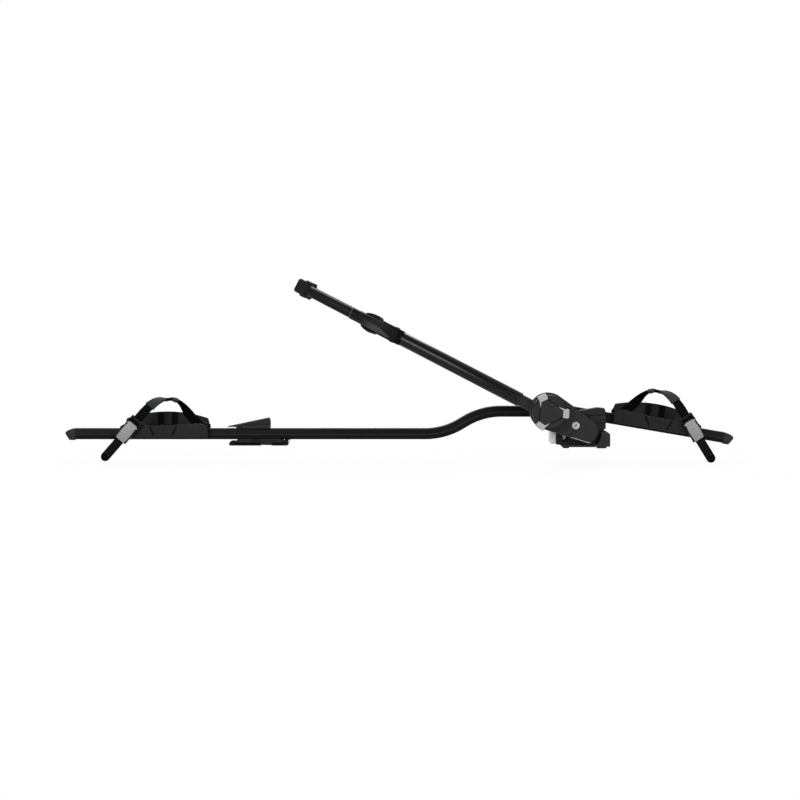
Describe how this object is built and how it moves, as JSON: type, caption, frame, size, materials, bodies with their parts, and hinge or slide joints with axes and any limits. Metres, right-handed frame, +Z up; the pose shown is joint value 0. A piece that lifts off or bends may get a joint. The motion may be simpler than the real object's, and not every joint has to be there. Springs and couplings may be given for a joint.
{
  "type": "roof mounted bike carrier",
  "caption": "Roof bike carrier: bent tray rail on clamp feet, folding frame arm with a dial-driven claw, sliding wheel cradles with ladder straps.",
  "frame": {"origin": "on top of the front roof bar, in the tray's middle plane, under the frame arm's hinge line", "axes": "+X along the tray towards its front end, +Y away from the dial side, +Z up"},
  "size_m": [1.4407, 0.2237, 0.4008],
  "materials": {
    "rail_black": "black anodised extrusion, satin",
    "tube_black": "gloss black coating",
    "black_plastic": "fine-grained satin black",
    "grey_plastic": "silver-grey satin",
    "silver_trim": "bright satin",
    "strap_black": "smooth black ladder strap",
    "rubber": "matt bluish dark grey",
    "steel": "zinc plated"
  },
  "bodies": {
    "carrier": {"tray_rail": "rail_black", "rear_end_cap": "black_plastic", "front_end_cap": "black_plastic", "tray_saddle": "black_plastic", "saddle_bolts": "steel", "foot_base": "black_plastic", "foot_nose": "silver_trim", "foot_sole": "rubber", "arm_axle": "steel", "front_clamp_tower": "black_plastic"},
    "front_bolt": {"front_clamp_bolt": "steel", "front_lever_pin": "steel"},
    "front_lever": {"front_clamp_lever": "black_plastic"},
    "catch": {"arm_catch": "grey_plastic"},
    "rear_foot": {"rear_foot_saddle": "black_plastic", "rear_foot_sole": "rubber", "rear_foot_screws": "steel", "rear_lever_base": "black_plastic"},
    "rear_bolt": {"rear_clamp_bolt": "steel", "rear_lever_pin": "steel"},
    "rear_lever": {"rear_clamp_lever": "black_plastic"},
    "rear_cradle": {"rear_cradle": "black_plastic", "rear_cradle_bolt": "steel", "rear_strap": "strap_black", "rear_rim_pad": "rubber", "rear_buckle_frame": "black_plastic", "rear_buckle_pin": "steel"},
    "rear_buckle_lever": {"rear_buckle_lever": "grey_plastic"},
    "front_cradle": {"front_cradle": "black_plastic", "front_cradle_bolt": "steel", "front_strap": "strap_black", "front_rim_pad": "rubber", "front_buckle_frame": "black_plastic", "front_buckle_pin": "steel"},
    "front_buckle_lever": {"front_buckle_lever": "grey_plastic"},
    "arm": {"housing_back": "black_plastic", "housing_cover": "black_plastic", "housing_screws": "steel", "arm_neck": "black_plastic", "arm_tube": "tube_black", "claw_head": "black_plastic", "jaw_pins": "steel", "crotch_pad": "rubber"},
    "lock": {"lock_barrel": "silver_trim"},
    "knob": {"dial_drum": "black_plastic", "dial_grips": "grey_plastic", "dial_shaft": "steel", "dial_gear": "steel", "torque_plate": "steel", "disc_springs": "steel"},
    "spindle": {"spindle": "steel", "spindle_gear": "steel"},
    "crosshead": {"crosshead": "steel"},
    "near_jaw": {"near_jaw": "black_plastic", "near_jaw_tip": "rubber"},
    "far_jaw": {"far_jaw": "black_plastic", "far_jaw_tip": "rubber"}
  },
  "joints": [
    {"name": "arm_fold", "type": "hinge", "parent": "carrier", "child": "arm", "pos_m": [0, -0.099, 0.0295], "axis": [0, 1, 0], "range_deg": [-22, 50]},
    {"name": "knob_turn", "type": "hinge", "parent": "arm", "child": "knob", "pos_m": [-0.08295, -0.1177, 0.07899], "axis": [0, -1, 0], "range_deg": [-72, 1440]},
    {"name": "spindle_turn", "type": "hinge", "parent": "arm", "child": "spindle", "pos_m": [-0.08295, -0.103, 0.07899], "axis": [-0.8759, 0.1736, 0.4502], "range_deg": [-1440.1, 72.1]},
    {"name": "crosshead_travel", "type": "slide", "parent": "arm", "child": "crosshead", "axis": [-0.8759, 0.1736, 0.4502], "range_m": [-0.02001, 0.00101]},
    {"name": "near_jaw_swing", "type": "hinge", "parent": "arm", "child": "near_jaw", "pos_m": [-0.40877, -0.05216, 0.23958], "axis": [0.4571, 0, 0.8894], "range_deg": [-1, 20]},
    {"name": "far_jaw_swing", "type": "hinge", "parent": "arm", "child": "far_jaw", "pos_m": [-0.40475, -0.02655, 0.23751], "axis": [0.4571, 0, 0.8894], "range_deg": [-20, 1]},
    {"name": "lock_turn", "type": "hinge", "parent": "arm", "child": "lock", "pos_m": [-0.02532, -0.1177, 0.04937], "axis": [0, -1, 0], "range_deg": [0, 90]},
    {"name": "catch_press", "type": "slide", "parent": "carrier", "child": "catch", "axis": [0, 0, 1], "range_m": [-0.005, 0], "stiffness_N_per_m": 300},
    {"name": "front_bolt_lift", "type": "slide", "parent": "carrier", "child": "front_bolt", "axis": [0, 0, 1], "range_m": [-0.0012, 0]},
    {"name": "front_lever_flip", "type": "hinge", "parent": "front_bolt", "child": "front_lever", "pos_m": [0.036, -0.045, 0.0752], "axis": [0, 1, 0], "range_deg": [0, 85]},
    {"name": "rear_foot_slide", "type": "slide", "parent": "carrier", "child": "rear_foot", "axis": [1, 0, 0], "range_m": [-0.015, 0.1]},
    {"name": "rear_bolt_lift", "type": "slide", "parent": "rear_foot", "child": "rear_bolt", "axis": [0, 0, 1], "range_m": [-0.0012, 0]},
    {"name": "rear_lever_flip", "type": "hinge", "parent": "rear_bolt", "child": "rear_lever", "pos_m": [-0.683, 0, 0.05225], "axis": [0, 1, 0], "range_deg": [0, 85]},
    {"name": "rear_cradle_slide", "type": "slide", "parent": "carrier", "child": "rear_cradle", "axis": [1, 0, 0], "range_m": [-0.06, 0.02]},
    {"name": "front_cradle_slide", "type": "slide", "parent": "carrier", "child": "front_cradle", "axis": [0.9857, 0, -0.1685], "range_m": [-0.004, 0.03]},
    {"name": "rear_buckle_flip", "type": "hinge", "parent": "rear_cradle", "child": "rear_buckle_lever", "pos_m": [-0.96808, -0.0485, 0.04504], "axis": [-0.7524, 0, 0.6587], "range_deg": [0, 75]},
    {"name": "front_buckle_flip", "type": "hinge", "parent": "front_cradle", "child": "front_buckle_lever", "pos_m": [0.22452, -0.0485, 0.05075], "axis": [-0.8526, 0, -0.5225], "range_deg": [0, 75]}
  ],
  "couplings": [
    {"joint": "spindle_turn", "follows": "knob_turn", "ratio": -1},
    {"joint": "crosshead_travel", "follows": "knob_turn", "m_per_rad": -0.00079577},
    {"joint": "near_jaw_swing", "follows": "knob_turn", "ratio": 0.013889},
    {"joint": "far_jaw_swing", "follows": "knob_turn", "ratio": -0.013889},
    {"joint": "front_bolt_lift", "follows": "front_lever_flip", "m_per_rad": -0.00074148},
    {"joint": "rear_bolt_lift", "follows": "rear_lever_flip", "m_per_rad": -0.00074148}
  ]
}
